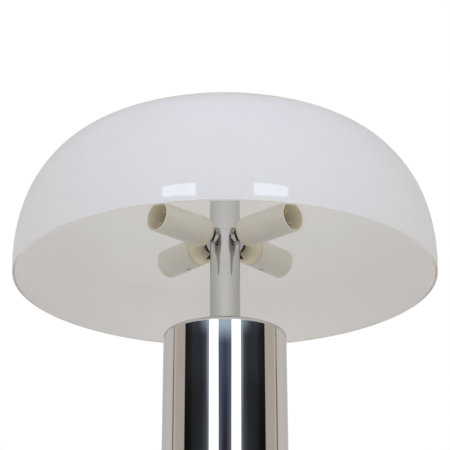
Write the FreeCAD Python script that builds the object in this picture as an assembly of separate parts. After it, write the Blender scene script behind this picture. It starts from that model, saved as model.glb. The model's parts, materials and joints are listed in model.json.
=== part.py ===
import FreeCAD, Part
import os
import math

V = FreeCAD.Vector

# ---------------------------------------------------------------------------
# Driving dimensions (millimetres, degrees)
# ---------------------------------------------------------------------------
# base and column
FELT_H = 2.0            # felt pad thickness
FELT_R = 56.6
PLATE_H = 4.0           # steel base plate
PLATE_R = 55.4
COL_R = 57.15           # column tube outside radius (4.5 inch tube)
COL_WALL = 1.5
COL_TOP_T = 2.0         # thickness of the drawn top
COL_TOP_Z = 404.0       # top face of the column
COL_EDGE_R = 4.0        # rounded top edge
BALLAST_H = 36.0
BALLAST_R = 55.2
BALLAST_HOLE_R = 12.0
CORD_SLOT_W = 14.0      # slot in the ballast towards the cord inlet
ROD_CIRCLE_R = 40.0     # pitch radius of the three column tie rods
ROD_R = 5.0
SCREW_R = 3.0           # base screws M6
CORD_Z = 17.0           # height of the cord inlet
CORD_BORE_R = 3.3
# stem
STEM_R = 14.2           # lower stem tube
STEM_WALL = 1.5
STEM_BOTTOM_Z = 388.0
STEM_JOINT_Z = 504.6    # joint between lower tube and upper sleeve
SLEEVE_R = 14.4         # upper stem sleeve
# shade
RIM_Z = 455.0           # plane of the shade's rim
RIM_R = 199.0           # outside, at the rim
SHADE_T = 3.0
RIM_TURN = -5.35        # the wall draws in a little towards the rim: its outward normal dips there
# wall, bend and shoulder arcs: radius and the normal's rise at the arc's end
SHADE_ARCS = ((170.0, 15.35), (120.0, 38.8), (86.0, 60.592))
SHADE_HOLE_R = 6.0
# lampholders: a level cross, distances L run outwards from the stem axis
ARM_Z = 498.7
ARM_ANGLES = (49.0, 131.0, 223.5, 316.5)   # two behind, two in front
HOLDER_R = 14.35
CAP_L0 = 23.0           # rear end of the cap
CAP_ROUND = 8.0         # rounding of its rear edge
SEAM_L = 38.5           # joint between cap and sleeve
SEAM_EDGE = 0.12        # broken edges at that joint
SEAM_GAP = 0.25         # the rear pair of sleeves stand off by this much
MOUTH_L = 86.0          # mouth of the sleeve
SLEEVE_WALL = 1.3
CORE_R = 12.6
CORE_L0, CORE_L1 = 43.0, 67.0
LAMP_R = 7.0            # inside radius of the lamp thread shell
SHELL_T = 0.4
NIPPLE_R = 5.0          # M10 x 1 nipple
NIPPLE_BORE_R = 3.5
NUT_AF = 14.0
NUT_L0, NUT_L1 = 14.7, 18.8   # arm nut, seated close to the stem
BUSH_R = 6.3            # dark bush between arm nut and cap
LEAD_R = 1.1
LEAD_BEND_R = 8.0
# top fixings
ROD_TOP_Z = 628.8       # top of the threaded shade rod
FINIAL_GAP = 0.1        # running gap under the finial

os.makedirs("parts", exist_ok=True)


# ---------------------------------------------------------------------------
# Small helpers
# ---------------------------------------------------------------------------
def save(name, shape):
    shape.exportStep("parts/" + name + ".step")


def cyl(r, z0, z1, x=0.0, y=0.0):
    return Part.makeCylinder(r, z1 - z0, V(x, y, z0), V(0, 0, 1))


def ring(r_out, r_in, z0, z1):
    return cyl(r_out, z0, z1).cut(cyl(r_in, z0 - 1.0, z1 + 1.0))


def line(a, b):
    return Part.LineSegment(V(a[0], 0, a[1]), V(b[0], 0, b[1])).toShape()


def arc3(a, m, b):
    return Part.Arc(V(a[0], 0, a[1]), V(m[0], 0, m[1]), V(b[0], 0, b[1])).toShape()


def lathe(edges):
    """Revolve a closed (radius, height) profile about the vertical axis."""
    face = Part.Face(Part.Wire(edges))
    return face.revolve(V(0, 0, 0), V(0, 0, 1), 360.0)


def poly_lathe(pts):
    return lathe([line(pts[i], pts[(i + 1) % len(pts)]) for i in range(len(pts))])


def dome_arc(r, z, z_top):
    """Arc from (r, z) to the axis at z_top, centred on the axis."""
    c = (z_top ** 2 - z ** 2 - r ** 2) / (2.0 * (z_top - z))
    rad = z_top - c
    m = r * 0.5
    return arc3((r, z), (m, c + math.sqrt(rad * rad - m * m)), (0.0, z_top))


def hexagon(af, z0, z1):
    rc = af / math.sqrt(3.0)
    pts = [V(rc * math.cos(math.radians(60 * k)), rc * math.sin(math.radians(60 * k)), z0) for k in range(7)]
    return Part.Face(Part.makePolygon(pts)).extrude(V(0, 0, z1 - z0))


def chamfered_hexagon(af, z0, z1, bevel):
    """Hexagon nut blank with its corners turned down on both faces."""
    rc = af / math.sqrt(3.0)
    turned = poly_lathe([(0, z0), (rc - bevel * 1.7, z0), (rc, z0 + bevel), (rc, z1 - bevel), (rc - bevel * 1.7, z1), (0, z1)])
    return hexagon(af, z0, z1).common(turned)


def to_arm(shape, angle):
    """A shape made along +Z is laid along +X, turned to its arm and lifted to the cross."""
    s = shape.copy()
    s.rotate(V(0, 0, 0), V(0, 1, 0), 90.0)
    s.rotate(V(0, 0, 0), V(0, 0, 1), angle)
    s.translate(V(0, 0, ARM_Z))
    return s


def on_arm(shape, angle):
    """A shape made along +X is turned to its arm and lifted to the cross."""
    s = shape.copy()
    s.rotate(V(0, 0, 0), V(0, 0, 1), angle)
    s.translate(V(0, 0, ARM_Z))
    return s


# ---------------------------------------------------------------------------
# Base: felt, plate, ballast, rods, screws
# ---------------------------------------------------------------------------
plate_z0 = FELT_H
plate_z1 = FELT_H + PLATE_H
ballast_z1 = plate_z1 + BALLAST_H
col_r_in = COL_R - COL_WALL
col_under_z = COL_TOP_Z - COL_TOP_T

rod_xy = [(ROD_CIRCLE_R * math.cos(math.radians(a)), ROD_CIRCLE_R * math.sin(math.radians(a))) for a in (30.0, 150.0, 270.0)]

felt = poly_lathe([(0, 0.0), (FELT_R - 0.5, 0.0), (FELT_R, 0.5), (FELT_R, FELT_H), (0, FELT_H)])
save("felt_pad", felt)

plate = cyl(PLATE_R, plate_z0, plate_z1)
for x, y in rod_xy:
    sink = Part.makeCone(6.2, SCREW_R, 3.2, V(x, y, plate_z0), V(0, 0, 1))
    plate = plate.cut(sink).cut(cyl(SCREW_R, plate_z0 - 1, plate_z1 + 1, x, y))
save("base_plate", plate)

screws = []
for x, y in rod_xy:
    head = Part.makeCone(6.2, SCREW_R, 3.2, V(x, y, plate_z0), V(0, 0, 1))
    shank = cyl(SCREW_R, plate_z0 + 3.2, ballast_z1 + 14.0, x, y)
    drive = Part.makeBox(9.0, 1.4, 1.3, V(x - 4.5, y - 0.7, plate_z0))
    screws.append(head.fuse(shank).removeSplitter().cut(drive))
save("base_screws", Part.makeCompound(screws))

ballast = poly_lathe([(BALLAST_HOLE_R, plate_z1), (BALLAST_R, plate_z1), (BALLAST_R, ballast_z1 - 3.0), (BALLAST_R - 3.0, ballast_z1), (BALLAST_HOLE_R, ballast_z1)])
for x, y in rod_xy:
    ballast = ballast.cut(cyl(SCREW_R + 0.3, plate_z1 - 1, ballast_z1 + 1, x, y))
ballast = ballast.cut(Part.makeBox(CORD_SLOT_W, BALLAST_R + 2.0, BALLAST_H + 2.0, V(-CORD_SLOT_W / 2.0, 0, plate_z1 - 1.0)))
save("ballast_weight", ballast)

rods = []
for x, y in rod_xy:
    rod = cyl(ROD_R, ballast_z1, col_under_z, x, y).cut(cyl(SCREW_R, ballast_z1 - 1, ballast_z1 + 20.0, x, y))
    rods.append(rod)
save("tie_rods", Part.makeCompound(rods))

# ---------------------------------------------------------------------------
# Column: drawn cup with a rounded top edge, stem hole and cord inlet
# ---------------------------------------------------------------------------
k = math.sqrt(0.5)
ce = (COL_R - COL_EDGE_R, COL_TOP_Z - COL_EDGE_R)
ri = COL_EDGE_R - COL_WALL
ci = (col_r_in - ri, col_under_z - ri)
column = lathe([
    line((COL_R, plate_z0), (COL_R, ce[1])),
    arc3((COL_R, ce[1]), (ce[0] + COL_EDGE_R * k, ce[1] + COL_EDGE_R * k), (ce[0], COL_TOP_Z)),
    line((ce[0], COL_TOP_Z), (STEM_R, COL_TOP_Z)),
    line((STEM_R, COL_TOP_Z), (STEM_R, col_under_z)),
    line((STEM_R, col_under_z), (ci[0], col_under_z)),
    arc3((ci[0], col_under_z), (ci[0] + ri * k, ci[1] + ri * k), (col_r_in, ci[1])),
    line((col_r_in, ci[1]), (col_r_in, plate_z0)),
    line((col_r_in, plate_z0), (COL_R, plate_z0)),
])
INLET_R = 5.5
column = column.cut(Part.makeCylinder(INLET_R, 20.0, V(0, COL_R - 10.0, CORD_Z), V(0, 1, 0)))
save("column_shell", column)

# rubber grommet in the inlet: outer flange, neck, inner flange, bore
out_flange = Part.makeCylinder(8.0, 5.0, V(0, 54.6, CORD_Z), V(0, 1, 0)).cut(cyl(COL_R, 0, 60))
in_flange = Part.makeCylinder(6.6, 5.0, V(0, 53.4, CORD_Z), V(0, 1, 0)).common(cyl(col_r_in, 0, 60))
neck = Part.makeCylinder(INLET_R, 59.6 - 53.4, V(0, 53.4, CORD_Z), V(0, 1, 0))
grommet = out_flange.fuse(neck).fuse(in_flange).removeSplitter()
grommet = grommet.cut(Part.makeCylinder(CORD_BORE_R, 20.0, V(0, 48.0, CORD_Z), V(0, 1, 0)))
save("cord_grommet", grommet)

# ---------------------------------------------------------------------------
# Stem, its collar and nut, hub and upper sleeve
# ---------------------------------------------------------------------------
stem = ring(STEM_R, STEM_R - STEM_WALL, STEM_BOTTOM_Z, STEM_JOINT_Z)
for a in ARM_ANGLES:
    d = V(math.cos(math.radians(a)), math.sin(math.radians(a)), 0)
    stem = stem.cut(Part.makeCylinder(NIPPLE_R, 30.0, V(0, 0, ARM_Z), d))
save("stem_tube", stem)

collar = poly_lathe([(STEM_R, COL_TOP_Z), (20.0, COL_TOP_Z), (20.0, COL_TOP_Z + 3.0), (18.5, COL_TOP_Z + 4.5), (STEM_R, COL_TOP_Z + 4.5)])
save("stem_collar", collar)

stem_nut = chamfered_hexagon(38.0, col_under_z - 7.0, col_under_z, 1.0).cut(cyl(STEM_R, 380, 410))
save("stem_nut", stem_nut)

HUB_R = STEM_R - STEM_WALL - 0.1
HUB_Z0, HUB_Z1 = 485.0, 517.0
hub = cyl(HUB_R, HUB_Z0, HUB_Z1)
hub = hub.cut(cyl(6.2, HUB_Z0 - 1, ARM_Z + 7.5)).cut(cyl(NIPPLE_R, ARM_Z, HUB_Z1 + 1))
for a in ARM_ANGLES:
    d = V(math.cos(math.radians(a)), math.sin(math.radians(a)), 0)
    hub = hub.cut(Part.makeCylinder(NIPPLE_R, 30.0, V(0, 0, ARM_Z), d))
save("arm_hub", hub)

CARRIER_Z0 = 608.3
CARRIER_Z1 = 612.3
upper = ring(SLEEVE_R, SLEEVE_R - STEM_WALL, STEM_JOINT_Z, CARRIER_Z0)
save("upper_sleeve", upper)

# ---------------------------------------------------------------------------
# Lampholder cross
# ---------------------------------------------------------------------------
stem_core = cyl(STEM_R, 380, STEM_JOINT_Z).fuse(cyl(SLEEVE_R, STEM_JOINT_Z, 640))
nipples, saddles, nuts, washers, side_contacts = [], [], [], [], []
for a in ARM_ANGLES:
    nip = ring(NIPPLE_R, NIPPLE_BORE_R, 7.6, CAP_L0 + 5.0)
    nipples.append(to_arm(nip, a))

    # saddle washer seated on the round of the stem
    sad = poly_lathe([(NIPPLE_R, 8.0), (7.2, 8.0), (7.2, NUT_L0 - 0.3), (6.9, NUT_L0), (NIPPLE_R, NUT_L0)])
    saddles.append(to_arm(sad, a).cut(stem_core))

    nut = chamfered_hexagon(NUT_AF, NUT_L0, NUT_L1, 0.6).cut(cyl(NIPPLE_R, 10, 30))
    nut.rotate(V(0, 0, 0), V(0, 0, 1), 30.0)
    nuts.append(to_arm(nut, a))

    # dark thick washer between nut and cap, with turned edges
    wash = poly_lathe([(NIPPLE_R, NUT_L1), (BUSH_R - 0.3, NUT_L1), (BUSH_R, NUT_L1 + 0.3), (BUSH_R, CAP_L0), (NIPPLE_R, CAP_L0)])
    washers.append(to_arm(wash, a))
save("arm_nipples", Part.makeCompound(nipples))
save("arm_saddles", Part.makeCompound(saddles))
save("arm_nuts", Part.makeCompound(nuts))
save("arm_washers", Part.makeCompound(washers))

# cap: rounded rear end, threaded entry, spigot that enters the sleeve
R0 = HOLDER_R - CAP_ROUND
cl = CAP_L0 + CAP_ROUND
WALL_C = 2.2
SPIG_R = HOLDER_R - SLEEVE_WALL
SPIG_L = CORE_L0        # the spigot holds the core against the sleeve
cap_profile = [
    line((NIPPLE_R, CAP_L0), (R0, CAP_L0)),
    arc3((R0, CAP_L0), (R0 + CAP_ROUND * k, cl - CAP_ROUND * k), (HOLDER_R, cl)),
    line((HOLDER_R, cl), (HOLDER_R, SEAM_L - SEAM_EDGE)),
    line((HOLDER_R, SEAM_L - SEAM_EDGE), (HOLDER_R - SEAM_EDGE, SEAM_L)),
    line((HOLDER_R - SEAM_EDGE, SEAM_L), (SPIG_R, SEAM_L)),
    line((SPIG_R, SEAM_L), (SPIG_R, SPIG_L)),
    line((SPIG_R, SPIG_L), (SPIG_R - 1.4, SPIG_L)),
    line((SPIG_R - 1.4, SPIG_L), (SPIG_R - 1.4, cl + 1.0)),
    arc3((SPIG_R - 1.4, cl + 1.0), (R0 + 5.3 * k - 0.3, cl + 1.0 - 5.3 * k), (R0 - 0.2, CAP_L0 + 5.0)),
    line((R0 - 0.2, CAP_L0 + 5.0), (NIPPLE_R, CAP_L0 + 5.0)),
    line((NIPPLE_R, CAP_L0 + 5.0), (NIPPLE_R, CAP_L0)),
]
cap0 = lathe(cap_profile)

# sleeve: thin smooth tube with a softened mouth edge and a latch slot underneath
er = 0.5


def sleeve_tube(l0):
    return lathe([
        line((SPIG_R, l0), (HOLDER_R - SEAM_EDGE, l0)),
        line((HOLDER_R - SEAM_EDGE, l0), (HOLDER_R, l0 + SEAM_EDGE)),
        line((HOLDER_R, l0 + SEAM_EDGE), (HOLDER_R, MOUTH_L - er)),
        arc3((HOLDER_R, MOUTH_L - er), (HOLDER_R - er + er * k, MOUTH_L - er + er * k), (HOLDER_R - er, MOUTH_L)),
        line((HOLDER_R - er, MOUTH_L), (SPIG_R, MOUTH_L)),
        line((SPIG_R, MOUTH_L), (SPIG_R, l0)),
    ])


# space behind the opening in the cap: follows the outside at the skin's thickness
SKIN = 0.9
rs = CAP_ROUND - SKIN
behind_skin = lathe([
    line((0.0, cl - rs), (R0, cl - rs)),
    arc3((R0, cl - rs), (R0 + rs * k, cl - rs * k), (R0 + rs, cl)),
    line((R0 + rs, cl), (R0 + rs, cl + 2.0)),
    line((R0 + rs, cl + 2.0), (0.0, cl + 2.0)),
    line((0.0, cl + 2.0), (0.0, cl - rs)),
])
behind_skin.rotate(V(0, 0, 0), V(0, 1, 0), 90.0)

# core: insulating body with the bore for the screw shell, two ribs and wire passage
core0 = lathe([
    line((2.0, CORE_L0), (CORE_R - 0.4, CORE_L0)),
    line((CORE_R - 0.4, CORE_L0), (CORE_R, CORE_L0 + 0.4)),
    line((CORE_R, CORE_L0 + 0.4), (CORE_R, CORE_L1 - 1.0)),
    line((CORE_R, CORE_L1 - 1.0), (CORE_R - 1.0, CORE_L1)),
    line((CORE_R - 1.0, CORE_L1), (LAMP_R + SHELL_T, CORE_L1)),
    line((LAMP_R + SHELL_T, CORE_L1), (LAMP_R + SHELL_T, CORE_L0 + 4.5)),
    line((LAMP_R + SHELL_T, CORE_L0 + 4.5), (2.0, CORE_L0 + 4.5)),
    line((2.0, CORE_L0 + 4.5), (2.0, CORE_L0)),
])
shell0 = ring(LAMP_R + SHELL_T, LAMP_R, CORE_L0 + 6.5, CORE_L1 - 0.6)
contact0 = lathe([
    line((0, CORE_L0 + 1.4), (2.0, CORE_L0 + 1.4)),
    line((2.0, CORE_L0 + 1.4), (2.0, CORE_L0 + 4.5)),
    line((2.0, CORE_L0 + 4.5), (4.2, CORE_L0 + 4.5)),
    line((4.2, CORE_L0 + 4.5), (4.2, CORE_L0 + 5.1)),
    line((4.2, CORE_L0 + 5.1), (2.8, CORE_L0 + 5.1)),
    dome_arc(2.8, CORE_L0 + 5.1, CORE_L0 + 6.2),
    line((0, CORE_L0 + 6.2), (0, CORE_L0 + 1.4)),
])

for n, a in enumerate(ARM_ANGLES, 1):
    side = 1.0 if math.cos(math.radians(a)) > 0 else -1.0
    behind = math.sin(math.radians(a)) > 0
    # opening in the rear of the cap that leads into its hollow: underneath on the
    # rear pair, on top on the front pair
    cap = cap0.copy()
    cap.rotate(V(0, 0, 0), V(0, 1, 0), 90.0)
    mouth = [(-1.0, 0.7), (0.0, 0.4), (0.5, 0.0), (1.0, -0.7), (1.7, -1.1), (3.55, -1.3), (3.35, 0.5), (2.9, 2.4), (2.4, 4.6), (-1.0, 5.6)]
    mouth = Part.Face(Part.makePolygon([V(CAP_L0 + l, side * y, -16.0) for l, y in mouth + mouth[:1]]))
    mouth = mouth.extrude(V(0, 0, 9.0))
    room = Part.makeBox(12.0, 9.0, 9.0, V(CAP_L0, -4.5 + side * 2.3, -15.5)).common(behind_skin)
    for cutter in (mouth, room):
        cutter.rotate(V(0, 0, 0), V(1, 0, 0), 0.0 if behind else 150.0 * side)
        cap = cap.cut(cutter)
    save("holder_cap_%d" % n, on_arm(cap, a))
    # latch slot low on the sleeve, and six short ribs inside that stop the core
    slot = Part.makeBox(3.9, 4.2, 4.0, V(54.2, -2.1, -HOLDER_R - 1.8))
    slot.rotate(V(0, 0, 0), V(1, 0, 0), side * (7.5 if behind else 45.0))
    sl = sleeve_tube(SEAM_L + (SEAM_GAP if behind else 0.0))
    sl.rotate(V(0, 0, 0), V(0, 1, 0), 90.0)
    sl = sl.cut(slot)
    for k6 in range(6):
        rib = Part.makeBox(5.0, HOLDER_R - 0.7 - 9.8, 1.6, V(CORE_L1, 9.8, -0.8))
        rib.rotate(V(0, 0, 0), V(1, 0, 0), 60.0 * k6)
        sl = sl.fuse(rib)
    sl = sl.removeSplitter()
    save("holder_sleeve_%d" % n, on_arm(sl, a))
    co = core0.copy()
    co.rotate(V(0, 0, 0), V(0, 1, 0), 90.0)
    # pocket in the core beside the shell for the side contact strip
    pocket = Part.makeBox(14.0, 3.0, 0.7, V(CORE_L1 - 14.0, -1.5, LAMP_R + SHELL_T - 0.2))
    co = co.cut(pocket)
    save("holder_core_%d" % n, on_arm(co, a))
    save("screw_shell_%d" % n, to_arm(shell0, a))
    save("centre_contact_%d" % n, to_arm(contact0, a))
    strip = Part.makeBox(11.5, 2.6, 0.5, V(CORE_L1 - 13.0, -1.3, LAMP_R + SHELL_T))
    side_contacts.append(on_arm(strip, a))
save("side_contacts", Part.makeCompound(side_contacts))

# ---------------------------------------------------------------------------
# Terminal block on a bracket, and the four internal leads
# ---------------------------------------------------------------------------
BR_Z = 330.0
bx, by = rod_xy[2]
bracket = Part.makeBox(20.0, 61.5, 1.5, V(-10.0, by - 9.0, BR_Z))
bracket = bracket.cut(cyl(ROD_R, BR_Z - 5, BR_Z + 5, bx, by))
lip = Part.makeBox(20.0, 1.5, 8.0, V(-10.0, by - 9.0 + 60.0, BR_Z + 1.5))
bracket = bracket.fuse(lip).removeSplitter()
save("terminal_bracket", bracket)

TB_Z0, TB_Z1 = BR_Z + 1.5, BR_Z + 19.5
off = 3.6
lead_xy = [(off * math.cos(math.radians(a)), off * math.sin(math.radians(a))) for a in ARM_ANGLES]
tb = Part.makeBox(18.0, 22.0, TB_Z1 - TB_Z0, V(-9.0, -11.0, TB_Z0))
tb = tb.makeChamfer(0.8, [e for e in tb.Edges if abs(e.Vertexes[0].Z - e.Vertexes[1].Z) > 1.0])
for x, y in lead_xy:
    tb = tb.cut(cyl(LEAD_R + 0.1, TB_Z1 - 9.0, TB_Z1 + 1.0, x, y))
term_xy = [(-5.4, -7.6), (5.4, -7.6), (-5.4, 7.6), (5.4, 7.6)]
for x, y in term_xy:
    tb = tb.cut(cyl(1.9, TB_Z1 - 6.0, TB_Z1 + 1.0, x, y))
save("terminal_block", tb)
tscrews = []
for x, y in term_xy:
    s = cyl(1.9, TB_Z1 - 6.0, TB_Z1 - 1.2, x, y).cut(Part.makeBox(5.0, 0.6, 0.8, V(x - 2.5, y - 0.3, TB_Z1 - 2.0)))
    tscrews.append(s)
save("terminal_screws", Part.makeCompound(tscrews))

for n, a in enumerate(ARM_ANGLES, 1):
    d = V(math.cos(math.radians(a)), math.sin(math.radians(a)), 0)
    c0 = V(0, 0, ARM_Z)
    p_out = c0 + d * (CORE_L0 + 1.4)
    p_arc0 = c0 + d * (off + LEAD_BEND_R)
    p_arc1 = c0 + d * off + V(0, 0, -LEAD_BEND_R)
    mid = c0 + d * (off + LEAD_BEND_R - LEAD_BEND_R * k) + V(0, 0, -LEAD_BEND_R + LEAD_BEND_R * k)
    p_end = V(d.x * off, d.y * off, TB_Z1 - 9.0)
    wire = Part.Wire([Part.LineSegment(p_out, p_arc0).toShape(), Part.Arc(p_arc0, mid, p_arc1).toShape(), Part.LineSegment(p_arc1, p_end).toShape()])
    prof = Part.Wire([Part.Circle(p_out, d, LEAD_R).toShape()])
    lead = wire.makePipeShell([prof], True, False)
    length = sum(e.Length for e in wire.Edges)
    print("lead", n, "bend radius", LEAD_BEND_R, "length", round(length, 2), "volume", round(lead.Volume, 2), "expected", round(math.pi * LEAD_R ** 2 * length, 2))
    save("holder_lead_%d" % n, lead)

# ---------------------------------------------------------------------------
# Top fixings: rod, carrier, nut, rubber ring
# ---------------------------------------------------------------------------
rod_top = poly_lathe([(0, ARM_Z + 8.0), (NIPPLE_R, ARM_Z + 8.0), (NIPPLE_R, ROD_TOP_Z - 0.8), (NIPPLE_R - 0.8, ROD_TOP_Z), (0, ROD_TOP_Z)])
save("shade_rod", rod_top)

carrier = poly_lathe([(NIPPLE_R, CARRIER_Z0), (28.6, CARRIER_Z0), (30.0, CARRIER_Z0 + 1.4), (30.0, CARRIER_Z1), (NIPPLE_R, CARRIER_Z1)])
save("shade_carrier", carrier)

carrier_nut = chamfered_hexagon(16.0, CARRIER_Z1, CARRIER_Z1 + 3.0, 0.5).cut(cyl(NIPPLE_R, 600, 620))
save("carrier_nut", carrier_nut)

rubber = poly_lathe([(13.0, CARRIER_Z1), (28.0, CARRIER_Z1), (28.0, CARRIER_Z1 + 1.3), (27.4, CARRIER_Z1 + 1.9), (13.0, CARRIER_Z1 + 1.9)])
save("rubber_ring", rubber)


# ---------------------------------------------------------------------------
# Shade: wall, bend, shoulder and crown arcs, widest just above the rim; inside is an even offset
# ---------------------------------------------------------------------------
def shade_curve(off):
    """Edges of the dome's profile from the rim up to the hole, set inwards by off."""
    def on(c, r, t):
        return (c[0] + r * math.cos(t), c[1] + r * math.sin(t))
    rad = SHADE_ARCS[0][0]
    t = math.radians(RIM_TURN)
    c = (RIM_R - rad * math.cos(t), RIM_Z - rad * math.sin(t))
    # the rim face is flat, so the offset curve runs on down to the same plane
    t = math.asin((RIM_Z - c[1]) / (rad - off))
    start = on(c, rad - off, t)
    edges, p = [], start
    for r, rise in SHADE_ARCS:
        # each arc goes on from the last one's normal
        c = (c[0] + (rad - r) * math.cos(t), c[1] + (rad - r) * math.sin(t))
        rad, t_end = r, math.radians(rise)
        q = on(c, rad - off, t_end)
        edges.append(arc3(p, on(c, rad - off, 0.5 * (t + t_end)), q))
        p, t = q, t_end
    # crown, centred on the axis
    pe = on(c, rad, t)
    r3 = pe[0] / math.cos(t)
    c3 = (0.0, pe[1] - r3 * math.sin(t))
    th = math.acos(SHADE_HOLE_R / (r3 - off))
    p3 = on(c3, r3 - off, th)
    edges.append(arc3(p, on(c3, r3 - off, 0.5 * (t + th)), p3))
    return edges, start, p3, c3, r3


out_e, out_rim, out_top, crown_c, crown_r = shade_curve(0.0)
in_e, in_rim, in_top, _c, _r = shade_curve(SHADE_T)
shade = lathe(out_e + [line(out_top, in_top)] + in_e[::-1] + [line(in_rim, out_rim)])
save("shade", shade)
print("crown centre z", round(crown_c[1], 3), "crown radius", round(crown_r, 3), "apex", round(crown_c[1] + crown_r, 3))
print("inner apex", round(crown_c[1] + crown_r - SHADE_T, 3), "inner z at r=28", round(crown_c[1] + math.sqrt((crown_r - SHADE_T) ** 2 - 28.0 ** 2), 3))

apex = crown_c[1] + crown_r
washer_z0 = round(apex + 0.01, 2)
save("shade_washer", ring(11.0, SHADE_HOLE_R, washer_z0, washer_z0 + 1.0))

# finial: knurled cap nut
fz = washer_z0 + 1.0 + FINIAL_GAP
finial = lathe([
    line((NIPPLE_R + 0.05, fz), (11.0, fz)),
    line((11.0, fz), (11.0, fz + 1.6)),
    line((11.0, fz + 1.6), (9.6, fz + 2.6)),
    line((9.6, fz + 2.6), (9.6, fz + 8.2)),
    dome_arc(9.6, fz + 8.2, fz + 12.6),
    line((0, fz + 12.6), (0, fz + 9.4)),
    line((0, fz + 9.4), (NIPPLE_R + 0.05, fz + 9.4)),
    line((NIPPLE_R + 0.05, fz + 9.4), (NIPPLE_R + 0.05, fz)),
])
for i in range(24):
    t = math.radians(15.0 * i)
    finial = finial.cut(cyl(0.55, fz + 2.7, fz + 8.2, 9.85 * math.cos(t), 9.85 * math.sin(t)))
save("finial", finial)
print("apex", round(apex, 3), "finial top", round(fz + 12.6, 2))
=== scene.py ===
import json
import math
import bpy
import bmesh
from mathutils import Vector, Matrix

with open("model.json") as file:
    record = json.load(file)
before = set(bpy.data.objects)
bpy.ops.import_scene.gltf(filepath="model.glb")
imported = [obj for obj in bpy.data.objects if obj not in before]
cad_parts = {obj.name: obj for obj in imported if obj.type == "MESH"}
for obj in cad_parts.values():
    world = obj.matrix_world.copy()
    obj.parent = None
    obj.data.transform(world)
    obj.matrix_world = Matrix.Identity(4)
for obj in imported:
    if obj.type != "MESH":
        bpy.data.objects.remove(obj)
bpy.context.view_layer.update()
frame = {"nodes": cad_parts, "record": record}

nodes = frame["nodes"]
scene = bpy.context.scene

# ---------------------------------------------------------------------------
# Camera: on the axis, near table height, looking up under the shade
# ---------------------------------------------------------------------------
RIM_Z = 0.455
cam_data = bpy.data.cameras.new("camera")
cam_data.sensor_width = 36.0
cam_data.lens = 111.46
cam_data.clip_start = 0.01
cam_data.clip_end = 100.0
cam = bpy.data.objects.new("camera", cam_data)
cam.location = (0.0, -1.238, RIM_Z - 0.450)
cam.rotation_euler = (math.radians(90.0 + 22.3545), 0.0, 0.0)
scene.collection.objects.link(cam)
scene.camera = cam

scene.view_settings.view_transform = "Standard"
scene.view_settings.look = "None"
scene.view_settings.exposure = 0.0
scene.view_settings.gamma = 1.0


# ---------------------------------------------------------------------------
# Node helpers
# ---------------------------------------------------------------------------
class Tree:
    def __init__(self, nt):
        self.nt = nt
        nt.nodes.clear()

    def n(self, kind, **props):
        node = self.nt.nodes.new(kind)
        for k, v in props.items():
            setattr(node, k, v)
        return node

    def link(self, a, b):
        self.nt.links.new(a, b)

    def put(self, socket, value):
        if isinstance(value, bpy.types.NodeSocket):
            self.link(value, socket)
        else:
            socket.default_value = value

    def math(self, op, a, b=None, c=None, clamp=False):
        node = self.n("ShaderNodeMath", operation=op, use_clamp=clamp)
        for i, v in enumerate((a, b, c)):
            if v is not None:
                self.put(node.inputs[i], v)
        return node.outputs[0]

    def remap(self, v, a0, a1, b0, b1, smooth=False):
        node = self.n("ShaderNodeMapRange")
        node.interpolation_type = "SMOOTHSTEP" if smooth else "LINEAR"
        node.clamp = True
        self.put(node.inputs[0], v)
        for i, x in enumerate((a0, a1, b0, b1)):
            node.inputs[1 + i].default_value = x
        return node.outputs[0]

    def mix(self, fac, a, b, mode="MIX"):
        node = self.n("ShaderNodeMix", data_type="RGBA", blend_type=mode)
        self.put(node.inputs[0], fac)
        self.put(node.inputs[6], a)
        self.put(node.inputs[7], b)
        return node.outputs[2]

    def noise(self, vec, scale, detail=4.0, rough=0.5, dist=0.0):
        node = self.n("ShaderNodeTexNoise")
        self.link(vec, node.inputs["Vector"])
        node.inputs["Scale"].default_value = scale
        node.inputs["Detail"].default_value = detail
        node.inputs["Roughness"].default_value = rough
        node.inputs["Distortion"].default_value = dist
        return node.outputs["Fac"]

    def stretch(self, vec, scale):
        node = self.n("ShaderNodeMapping")
        self.link(vec, node.inputs["Vector"])
        node.inputs["Scale"].default_value = scale
        return node.outputs[0]

    def bump(self, height, strength, distance, normal=None):
        node = self.n("ShaderNodeBump")
        node.inputs["Strength"].default_value = strength
        node.inputs["Distance"].default_value = distance
        self.link(height, node.inputs["Height"])
        if normal is not None:
            self.link(normal, node.inputs["Normal"])
        return node.outputs[0]


def rgba(c):
    return (c[0], c[1], c[2], 1.0)


def material(name):
    m = bpy.data.materials.new(name)
    m.use_nodes = True
    t = Tree(m.node_tree)
    out = t.n("ShaderNodeOutputMaterial")
    b = t.n("ShaderNodeBsdfPrincipled")
    t.link(b.outputs[0], out.inputs[0])
    co = t.n("ShaderNodeTexCoord").outputs["Object"]
    return m, t, b, co


# ---------------------------------------------------------------------------
# Materials
# ---------------------------------------------------------------------------
OPAL_THROUGH = 0.51     # share of the light that the shade passes


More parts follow.
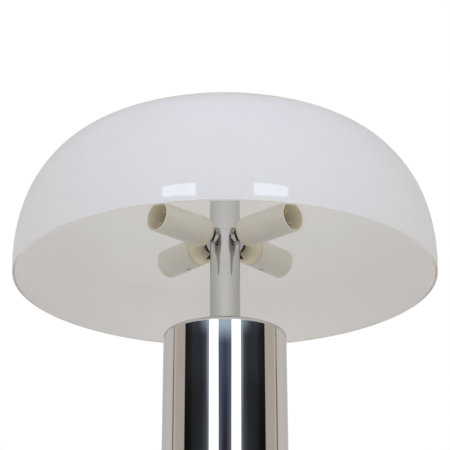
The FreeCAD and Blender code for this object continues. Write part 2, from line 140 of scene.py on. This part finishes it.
def opal_acrylic():
    """White opal sheet: polished, lets part of the light through, dull sawn rim, with painted shade on the rim's
    sides and on the upper inside towards the crown.
    """
    m = bpy.data.materials.new("opal_acrylic")
    m.use_nodes = True
    t = Tree(m.node_tree)
    out = t.n("ShaderNodeOutputMaterial")
    co = t.n("ShaderNodeTexCoord").outputs["Object"]
    sep = t.n("ShaderNodeSeparateXYZ")
    t.link(co, sep.inputs[0])
    cloud = t.noise(co, 7.0, 3.0, 0.5)
    speck = t.noise(co, 260.0, 2.0, 0.5)
    wipe = t.noise(t.stretch(co, (9.0, 9.0, 60.0)), 3.0, 5.0, 0.6, 0.4)
    wave = t.noise(co, 22.0, 2.0, 0.4)
    rim = t.remap(sep.outputs[2], RIM_Z + 0.0002, RIM_Z + 0.0005, 1.0, 0.0)
    col = t.mix(t.remap(cloud, 0.3, 0.7, 0.0, 1.0), rgba((0.855, 0.885, 0.945)), rgba((0.875, 0.905, 0.965)))
    # towards the crown the reflecting colour is painted lighter and the light let through darker and warmer: painted
    # shade for the upper inside of the dome
    crown_painted_shade = t.remap(sep.outputs[2], RIM_Z + 0.100, RIM_Z + 0.132, 0.0, 1.0, True)
    col = t.mix(crown_painted_shade, col, rgba((0.893, 0.924, 0.982)))
    col = t.mix(t.remap(speck, 0.66, 0.74, 0.0, 0.06), col, rgba((0.62, 0.61, 0.59)))
    # the rim face: dull grey for the sawn edge, painted darker still at the left and right sides, painted shade where
    # less light reaches it
    rim_side_shade = t.remap(t.math("ABSOLUTE", sep.outputs[0]), 0.180, 0.196, 0.0, 1.0, True)
    reach = t.math("SQRT", t.math("MULTIPLY_ADD", sep.outputs[0], sep.outputs[0], t.math("MULTIPLY", sep.outputs[1], sep.outputs[1])))
    rim_side_shade = t.math("MULTIPLY", rim_side_shade, t.remap(reach, 0.1964, 0.1969, 0.0, 1.0))
    rim_edge_and_shade = t.mix(rim_side_shade, rgba((0.755, 0.765, 0.79)), rgba((0.57, 0.56, 0.545)))
    col = t.mix(rim, col, rim_edge_and_shade)
    b = t.n("ShaderNodeBsdfPrincipled")
    t.link(col, b.inputs["Base Color"])
    r = t.remap(wipe, 0.25, 0.8, 0.0010, 0.0034)
    t.link(t.math("MULTIPLY_ADD", rim, 0.45, r), b.inputs["Roughness"])
    b.inputs["IOR"].default_value = 1.49
    b.inputs["Specular IOR Level"].default_value = 0.5 / (1.0 - OPAL_THROUGH)
    t.link(t.bump(wave, 0.01, 0.0003), b.inputs["Normal"])
    thru = t.n("ShaderNodeBsdfTranslucent")
    tint = t.mix(t.remap(cloud, 0.3, 0.7, 0.0, 1.0), rgba((0.94, 0.842, 0.70)), rgba((0.97, 0.872, 0.73)))
    # the darker, warmer through-colour towards the crown is painted shade
    t.link(t.mix(crown_painted_shade, tint, rgba((0.895, 0.79, 0.625))), thru.inputs["Color"])
    mix = t.n("ShaderNodeMixShader")
    # the rim passes less light at its sides than at the front, following the painted side shade
    glow = t.math("SUBTRACT", t.remap(rim_side_shade, 0.0, 1.0, 0.40, 0.12), OPAL_THROUGH)
    t.link(t.math("MULTIPLY_ADD", rim, glow, OPAL_THROUGH), mix.inputs[0])
    t.link(b.outputs[0], mix.inputs[1])
    t.link(thru.outputs[0], mix.inputs[2])
    clear = t.n("ShaderNodeBsdfTransparent")
    inside = t.n("ShaderNodeMixShader")
    t.link(t.n("ShaderNodeNewGeometry").outputs["Backfacing"], inside.inputs[0])
    t.link(mix.outputs[0], inside.inputs[1])
    t.link(clear.outputs[0], inside.inputs[2])
    t.link(inside.outputs[0], out.inputs[0])
    return m


def chrome(name="polished_chrome", tint=(0.65, 0.652, 0.655)):
    m, t, b, co = material(name)
    haze = t.noise(co, 26.0, 4.0, 0.6)
    fine = t.noise(t.stretch(co, (400.0, 400.0, 14.0)), 1.0, 3.0, 0.6)
    col = t.mix(t.remap(haze, 0.35, 0.75, 0.0, 1.0), rgba(tint), rgba((tint[0] * 0.975, tint[1] * 0.975, tint[2] * 0.98)))
    t.link(col, b.inputs["Base Color"])
    b.inputs["Metallic"].default_value = 1.0
    b.inputs["Specular Tint"].default_value = (0.80, 0.80, 0.80, 1.0)
    r = t.math("ADD", t.remap(haze, 0.4, 0.8, 0.010, 0.026), t.remap(fine, 0.55, 0.8, 0.0, 0.012))
    t.link(r, b.inputs["Roughness"])
    t.link(t.bump(fine, 0.004, 0.0001), b.inputs["Normal"])
    return m


def plastic(name, c1, c2, scale=40.0, rough=(0.32, 0.44), grain=900.0, bump=0.06):
    m, t, b, co = material(name)
    cloud = t.noise(co, scale, 4.0, 0.55)
    g = t.noise(co, grain, 3.0, 0.6)
    col = t.mix(t.remap(cloud, 0.3, 0.7, 0.0, 1.0), rgba(c1), rgba(c2))
    t.link(col, b.inputs["Base Color"])
    t.link(t.remap(g, 0.3, 0.7, rough[0], rough[1]), b.inputs["Roughness"])
    b.inputs["IOR"].default_value = 1.5
    t.link(t.bump(g, bump, 0.0002), b.inputs["Normal"])
    return m


ARM_Z = 0.4987


def sleeve_plastic(i, angle):
    """Cream plastic tube; the bore is painted lighter and warmer as painted light inside the mouth, its ribs darker
    as painted shade, and the back pair carries a painted shadow at the seam.
    """
    m, t, b, co = material("cream_plastic_%d" % i)
    cloud = t.noise(co, 40.0, 4.0, 0.55)
    g = t.noise(co, 900.0, 3.0, 0.6)
    across = t.n("ShaderNodeVectorMath", operation="DOT_PRODUCT")
    t.link(co, across.inputs[0])
    across.inputs[1].default_value = (-math.sin(math.radians(angle)), math.cos(math.radians(angle)), 0.0)
    sep = t.n("ShaderNodeSeparateXYZ")
    t.link(co, sep.inputs[0])
    up = t.math("SUBTRACT", sep.outputs[2], ARM_Z)
    r2 = t.math("MULTIPLY_ADD", up, up, t.math("MULTIPLY", across.outputs["Value"], across.outputs["Value"]))
    bore = t.remap(t.math("SQRT", r2), 0.01312, 0.01325, 1.0, 0.0)
    f = t.remap(cloud, 0.3, 0.7, 0.0, 1.0)
    col = t.mix(f, rgba((0.715, 0.70, 0.63)), rgba((0.745, 0.73, 0.664)))
    # painted light: the same plastic, painted lighter and warmer inside the bore; the inward ribs painted darker,
    # painted shade
    lit_bore_painted = t.mix(f, rgba((0.882, 0.829, 0.664)), rgba((0.912, 0.859, 0.694)))
    rib_painted_shade = t.remap(t.math("SQRT", r2), 0.01275, 0.01295, 1.0, 0.0)
    lit_bore_painted = t.mix(rib_painted_shade, lit_bore_painted, rgba((0.80, 0.74, 0.58)))
    if angle < 180.0:
        # painted shadow along the open seam to the cap, which lies in shade
        along = t.n("ShaderNodeVectorMath", operation="DOT_PRODUCT")
        t.link(co, along.inputs[0])
        along.inputs[1].default_value = (math.cos(math.radians(angle)), math.sin(math.radians(angle)), 0.0)
        col = t.mix(t.remap(along.outputs["Value"], 0.0390, 0.0393, 1.0, 0.0), col, rgba((0.46, 0.43, 0.36)))
    t.link(t.mix(bore, col, lit_bore_painted), b.inputs["Base Color"])
    t.link(t.remap(g, 0.3, 0.7, 0.32, 0.44), b.inputs["Roughness"])
    b.inputs["IOR"].default_value = 1.5
    t.link(t.bump(g, 0.06, 0.0002), b.inputs["Normal"])
    return m


def cap_plastic(name, c1, c2, low):
    """Cream plastic cap, painted lighter and warmer along its underside: painted light bounced up from below."""
    m, t, b, co = material(name)
    cloud = t.noise(co, 40.0, 4.0, 0.55)
    g = t.noise(co, 900.0, 3.0, 0.6)
    sep = t.n("ShaderNodeSeparateXYZ")
    t.link(co, sep.inputs[0])
    # painted light: the underside is mixed towards a lighter, warmer colour
    underside_light = t.remap(sep.outputs[2], ARM_Z - 0.0085, ARM_Z - 0.0135, 0.0, 1.0, True)
    col = t.mix(t.remap(cloud, 0.3, 0.7, 0.0, 1.0), rgba(c1), rgba(c2))
    t.link(t.mix(underside_light, col, rgba(low)), b.inputs["Base Color"])
    t.link(t.remap(g, 0.3, 0.7, 0.32, 0.44), b.inputs["Roughness"])
    b.inputs["IOR"].default_value = 1.5
    t.link(t.bump(g, 0.06, 0.0002), b.inputs["Normal"])
    return m


def metal(name, c1, c2, rough, scale, bump, stretch=None):
    m, t, b, co = material(name)
    v = t.stretch(co, stretch) if stretch else co
    g = t.noise(v, scale, 5.0, 0.62)
    col = t.mix(t.remap(g, 0.3, 0.7, 0.0, 1.0), rgba(c1), rgba(c2))
    t.link(col, b.inputs["Base Color"])
    b.inputs["Metallic"].default_value = 1.0
    t.link(t.remap(g, 0.25, 0.75, rough[0], rough[1]), b.inputs["Roughness"])
    t.link(t.bump(g, bump, 0.0002), b.inputs["Normal"])
    return m


def cast_iron():
    m, t, b, co = material("cast_ballast")
    g = t.noise(co, 420.0, 6.0, 0.65)
    rust = t.noise(co, 60.0, 4.0, 0.6)
    col = t.mix(t.remap(rust, 0.55, 0.75, 0.0, 0.6), rgba((0.060, 0.060, 0.063)), rgba((0.095, 0.060, 0.042)))
    t.link(col, b.inputs["Base Color"])
    b.inputs["Metallic"].default_value = 0.4
    t.link(t.remap(g, 0.3, 0.7, 0.55, 0.85), b.inputs["Roughness"])
    t.link(t.bump(g, 0.5, 0.0006), b.inputs["Normal"])
    return m


def felt():
    m, t, b, co = material("dark_felt")
    fibre = t.noise(t.stretch(co, (900.0, 260.0, 900.0)), 1.0, 6.0, 0.7, 1.2)
    fibre2 = t.noise(t.stretch(co, (240.0, 900.0, 900.0)), 1.0, 6.0, 0.7, 1.2)
    f = t.math("MAXIMUM", fibre, fibre2)
    col = t.mix(t.remap(f, 0.4, 0.8, 0.0, 1.0), rgba((0.012, 0.016, 0.014)), rgba((0.060, 0.072, 0.064)))
    t.link(col, b.inputs["Base Color"])
    t.link(t.remap(f, 0.4, 0.8, 0.85, 1.0), b.inputs["Roughness"])
    b.inputs["Sheen Weight"].default_value = 0.4
    b.inputs["Sheen Roughness"].default_value = 0.6
    t.link(t.bump(f, 0.8, 0.0006), b.inputs["Normal"])
    return m


M = {
    "opal_acrylic": opal_acrylic(),
    "polished_chrome": chrome(),
    # front and back caps get two tinted copies of one cap plastic: the warmer back copy is painted shade and warm
    # bounced light
    "cap_plastic_front": cap_plastic("cap_plastic_front", (0.72, 0.69, 0.592), (0.75, 0.718, 0.622), (0.765, 0.70, 0.565)),
    "cap_plastic_back": cap_plastic("cap_plastic_back", (0.735, 0.665, 0.495), (0.765, 0.695, 0.522), (0.865, 0.79, 0.61)),
    "core_plastic": plastic("core_plastic", (0.33, 0.285, 0.20), (0.37, 0.32, 0.23), rough=(0.45, 0.6)),
    "contact_brass": metal("contact_brass", (0.72, 0.56, 0.28), (0.62, 0.47, 0.22), (0.22, 0.4), 300.0, 0.1),
    "lead_sheath": plastic("lead_sheath", (0.70, 0.69, 0.66), (0.64, 0.63, 0.60), rough=(0.45, 0.6)),
    "terminal_plastic": plastic("terminal_plastic", (0.74, 0.73, 0.70), (0.70, 0.69, 0.66), rough=(0.4, 0.55)),
    "black_rubber": plastic("black_rubber", (0.020, 0.020, 0.021), (0.034, 0.033, 0.032), rough=(0.6, 0.8), bump=0.2),
    "clear_washer": plastic("clear_washer", (0.66, 0.66, 0.65), (0.72, 0.72, 0.71), rough=(0.25, 0.4)),
    "dark_felt": felt(),
    "cast_ballast": cast_iron(),
    "zinc_steel": metal("zinc_steel", (0.60, 0.60, 0.585), (0.50, 0.50, 0.49), (0.2, 0.38), 180.0, 0.08),
}

slot_of = {s["node"]: s["material_slot"] for s in frame["record"]["subparts"]}
# nuts and saddles get a darker copy of the polished chrome, painted shade
OWN = {"arm_nuts": chrome("nut_chrome", (0.54, 0.54, 0.545))}
OWN["arm_saddles"] = OWN["arm_nuts"]
for i, angle in enumerate((49.0, 131.0, 223.5, 316.5), 1):
    OWN["holder_sleeve_%d" % i] = sleeve_plastic(i, angle)
    # the back caps take the warmer copy, painted shade and bounced light
    OWN["holder_cap_%d" % i] = M["cap_plastic_back" if angle < 180.0 else "cap_plastic_front"]
for name, obj in nodes.items():
    obj.data.materials.clear()
    obj.data.materials.append(OWN.get(name) or M[slot_of[name]])


# ---------------------------------------------------------------------------
# World: white for the camera; an even soft light for surfaces; two tall soft
# boxes beside a dark studio for what polished metal mirrors
# ---------------------------------------------------------------------------
def build_world():
    w = bpy.data.worlds.new("studio")
    scene.world = w
    w.use_nodes = True
    t = Tree(w.node_tree)
    out = t.n("ShaderNodeOutputWorld")
    d = t.n("ShaderNodeTexCoord").outputs["Generated"]
    sep = t.n("ShaderNodeSeparateXYZ")
    t.link(d, sep.inputs[0])
    x, y, z = sep.outputs
    deg = 180.0 / math.pi
    az = t.math("MULTIPLY", t.math("ABSOLUTE", t.math("ARCTAN2", x, t.math("MULTIPLY", y, -1.0))), deg)
    el = t.math("MULTIPLY", t.math("ARCSINE", z), deg)

    ramp = t.n("ShaderNodeValToRGB")
    t.link(t.math("DIVIDE", az, 180.0), ramp.inputs[0])
    stops = [
        (0.0, (0.041, 0.042, 0.051)), (4.0, (0.057, 0.061, 0.076)), (8.0, (0.096, 0.103, 0.129)),
        (11.5, (0.171, 0.183, 0.219)), (28.6, (0.455, 0.480, 0.542)), (31.5, (0.148, 0.157, 0.190)),
        (35.0, (0.057, 0.061, 0.074)), (42.0, (0.027, 0.029, 0.037)), (61.8, (0.0272, 0.0272, 0.031)),
        (63.9, (0.0182, 0.0182, 0.0212)),
        (78.1, (0.014, 0.013, 0.013)), (79.4, (0.555, 0.485, 0.425)), (81.0, (0.581, 0.508, 0.444)),
        (100.0, (0.581, 0.508, 0.444)), (105.0, (0.706, 0.628, 0.553)), (107.0, (0.683, 0.606, 0.530)),
        (108.5, (0.342, 0.291, 0.242)), (110.5, (0.342, 0.291, 0.242)), (112.0, (0.727, 0.682, 0.644)),
        (130.0, (0.776, 0.731, 0.700)), (180.0, (0.727, 0.693, 0.675)),
    ]
    els = ramp.color_ramp.elements
    while len(els) < len(stops):
        els.new(0.5)
    for e, (a, c) in zip(els, stops):
        e.position = a / 180.0
        e.color = rgba(c)
    inner = t.math("SUBTRACT", az, t.remap(el, 14.0, 17.5, -0.10, 0.38))
    outer = t.math("ADD", az, t.remap(el, 14.0, 16.0, 0.27, 0.0))
    strip = t.math("MULTIPLY", t.remap(inner, 11.2, 12.5, 0.0, 1.0, True), t.remap(outer, 28.2, 29.5, 1.0, 0.0, True))
    strip = t.math("MULTIPLY", strip, t.remap(el, 4.0, 9.0, 0.0, 1.0, True))
    strip = t.math("MULTIPLY", strip, t.remap(el, 20.5, 21.5, 1.0, 0.0))
    front = t.remap(az, 24.0, 30.0, 1.0, 0.0)
    ceil = t.math("MULTIPLY", front, t.remap(el, 17.45, 18.4, 0.0, 1.0, True))
    glow = t.math("ADD", t.remap(az, 29.0, 52.0, 0.62, 0.0, True), t.remap(az, 29.0, 79.0, 0.12, 0.0))
    glow = t.math("MULTIPLY", glow, t.remap(el, 17.75, 18.6, 0.0, 1.0, True))
    ceil = t.math("MAXIMUM", ceil, glow)
    cool = t.math("MULTIPLY", t.remap(az, 9.0, 12.0, 1.0, 0.0), t.remap(el, 13.4, 15.6, 0.0, 1.0))
    low = t.math("MULTIPLY", t.remap(el, 16.0, 13.6, 0.0, 1.0), t.remap(az, 76.5, 78.0, 1.0, 0.0))
    uneven = t.math("MULTIPLY", t.remap(az, 2.0, 8.0, -0.24, 0.30), t.remap(az, 10.0, 11.0, 1.0, 0.0))
    uneven = t.math("ADD", uneven, t.math("MULTIPLY", t.remap(az, 40.0, 70.0, 0.40, -0.45), t.remap(az, 32.0, 35.0, 0.0, 1.0)))
    shade = t.math("MULTIPLY_ADD", uneven, low, 1.0)
    high = t.math("MULTIPLY", t.remap(el, 15.6, 16.6, 0.0, 0.46), t.remap(az, 68.0, 76.0, 1.0, 0.0))
    boxes = t.math("MULTIPLY", t.remap(az, 6.0, 8.0, 0.0, 1.0), t.remap(az, 33.0, 36.0, 1.0, 0.0))
    shade = t.math("MULTIPLY_ADD", high, t.math("SUBTRACT", 1.0, boxes), shade)
    fringe = t.math("MULTIPLY", t.remap(az, 30.0, 31.5, 0.0, 1.0), t.remap(az, 33.0, 35.5, 1.0, 0.0))
    shade = t.math("MULTIPLY_ADD", fringe, t.remap(el, 14.3, 17.0, 0.0, 1.15), shade)
    seam = t.math("MULTIPLY", t.remap(az, 106.2, 107.6, 0.0, 1.0), t.remap(az, 111.4, 112.6, 1.0, 0.0))
    shade = t.math("MULTIPLY_ADD", seam, t.remap(el, 16.2, 16.9, -0.28, 0.0), shade)
    grey = t.n("ShaderNodeCombineColor")
    for k in range(3):
        t.link(shade, grey.inputs[k])
    col = t.mix(1.0, ramp.outputs[0], grey.outputs[0], "MULTIPLY")
    col = t.mix(cool, col, rgba((0.004, 0.010, 0.042)), "ADD")
    col = t.mix(ceil, col, rgba((0.50, 0.615, 0.72)))
    col = t.mix(strip, col, rgba((2.28, 2.4, 2.53)))
    col = t.mix(t.remap(el, 32.0, 60.0, 0.0, 1.0, True), col, rgba((0.70, 0.71, 0.73)))

    lp = t.n("ShaderNodeLightPath")
    opal = t.mix(t.remap(az, 70.0, 115.0, 0.0, 1.0, True), rgba((0.50, 0.60, 0.70)), rgba((0.86, 0.89, 0.93)))
    opal = t.mix(t.remap(el, 8.0, 45.0, 0.0, 1.0), opal, rgba((0.56, 0.59, 0.62)))
    col = t.mix(lp.outputs["Is Singular Ray"], col, opal)

    soft = t.math("MULTIPLY_ADD", t.math("MULTIPLY", x, x), -1.32, 1.525)
    soft = t.math("MULTIPLY_ADD", y, -0.43, soft)
    soft = t.math("MULTIPLY_ADD", t.math("MAXIMUM", z, 0.0), -0.44, soft)
    bg_soft = t.n("ShaderNodeBackground")
    bg_soft.inputs[0].default_value = (0.984, 1.062, 1.216, 1.0)
    t.link(soft, bg_soft.inputs[1])
    bg_gloss = t.n("ShaderNodeBackground")
    t.link(col, bg_gloss.inputs[0])
    bg_cam = t.n("ShaderNodeBackground")
    bg_cam.inputs[0].default_value = (1, 1, 1, 1)
    mix1 = t.n("ShaderNodeMixShader")
    t.link(lp.outputs["Is Glossy Ray"], mix1.inputs[0])
    t.link(bg_soft.outputs[0], mix1.inputs[1])
    t.link(bg_gloss.outputs[0], mix1.inputs[2])
    mix2 = t.n("ShaderNodeMixShader")
    t.link(lp.outputs["Is Camera Ray"], mix2.inputs[0])
    t.link(mix1.outputs[0], mix2.inputs[1])
    t.link(bg_cam.outputs[0], mix2.inputs[2])
    t.link(mix2.outputs[0], out.inputs[0])
    w.cycles.sampling_method = "NONE"


build_world()


# ---------------------------------------------------------------------------
# Floor: a wide pale table top, open from below; in blurred reflections its front part is painted dark
# ---------------------------------------------------------------------------
def build_floor():
    bm = bmesh.new()
    bmesh.ops.create_circle(bm, cap_ends=True, segments=96, radius=3.0)
    me = bpy.data.meshes.new("floor")
    bm.to_mesh(me)
    bm.free()
    ob = bpy.data.objects.new("floor", me)
    ob.location.z = -0.0004
    scene.collection.objects.link(ob)
    m = bpy.data.materials.new("pale_floor")
    m.use_nodes = True
    t = Tree(m.node_tree)
    out = t.n("ShaderNodeOutputMaterial")
    co = t.n("ShaderNodeTexCoord").outputs["Object"]
    b = t.n("ShaderNodeBsdfPrincipled")
    g = t.noise(co, 60.0, 4.0, 0.6)
    pale = t.mix(t.remap(g, 0.3, 0.7, 0.0, 1.0), rgba((0.69, 0.615, 0.52)), rgba((0.71, 0.635, 0.54)))
    sep = t.n("ShaderNodeSeparateXYZ")
    t.link(co, sep.inputs[0])
    # painted shade: for glossy, not mirror-sharp rays the floor in front of the lamp turns near black, a dark area
    # only the chrome mirrors
    front = t.remap(sep.outputs[1], -0.05, -0.35, 0.0, 1.0, True)
    lp = t.n("ShaderNodeLightPath")
    front = t.math("MULTIPLY", front, t.math("SUBTRACT", lp.outputs["Is Glossy Ray"], lp.outputs["Is Singular Ray"]))
    t.link(t.mix(front, pale, rgba((0.06, 0.06, 0.065))), b.inputs["Base Color"])
    b.inputs["Roughness"].default_value = 0.7
    b.inputs["Specular IOR Level"].default_value = 0.2
    clear = t.n("ShaderNodeBsdfTransparent")
    mix = t.n("ShaderNodeMixShader")
    t.link(t.n("ShaderNodeNewGeometry").outputs["Backfacing"], mix.inputs[0])
    t.link(b.outputs[0], mix.inputs[1])
    t.link(clear.outputs[0], mix.inputs[2])
    t.link(mix.outputs[0], out.inputs[0])
    me.materials.append(m)


build_floor()


# ---------------------------------------------------------------------------
# Two tall soft boxes in front, left and right, seen only in reflections
# ---------------------------------------------------------------------------
def build_soft_boxes():
    m = bpy.data.materials.new("soft_box")
    m.use_nodes = True
    t = Tree(m.node_tree)
    out = t.n("ShaderNodeOutputMaterial")
    e = t.n("ShaderNodeEmission")
    e.inputs[0].default_value = (0.78, 0.90, 1.06, 1.0)
    e.inputs[1].default_value = 5.2
    t.link(e.outputs[0], out.inputs[0])
    for side, tag in ((-1.0, "left"), (1.0, "right")):
        v = [(side * 0.1042, -0.5074, RIM_Z + 0.1020), (side * 0.2845, -0.5637, RIM_Z + 0.1418),
             (side * 0.2907, -0.5657, RIM_Z + 0.2000), (side * 0.1060, -0.5080, RIM_Z + 0.1546)]
        me = bpy.data.meshes.new("soft_box_" + tag)
        me.from_pydata(v, [], [(0, 1, 2, 3)])
        me.materials.append(m)
        ob = bpy.data.objects.new("soft_box_" + tag, me)
        scene.collection.objects.link(ob)
        ob.visible_camera = False
        ob.visible_diffuse = False
        ob.visible_transmission = False
        ob.visible_volume_scatter = False
        ob.visible_shadow = False


build_soft_boxes()
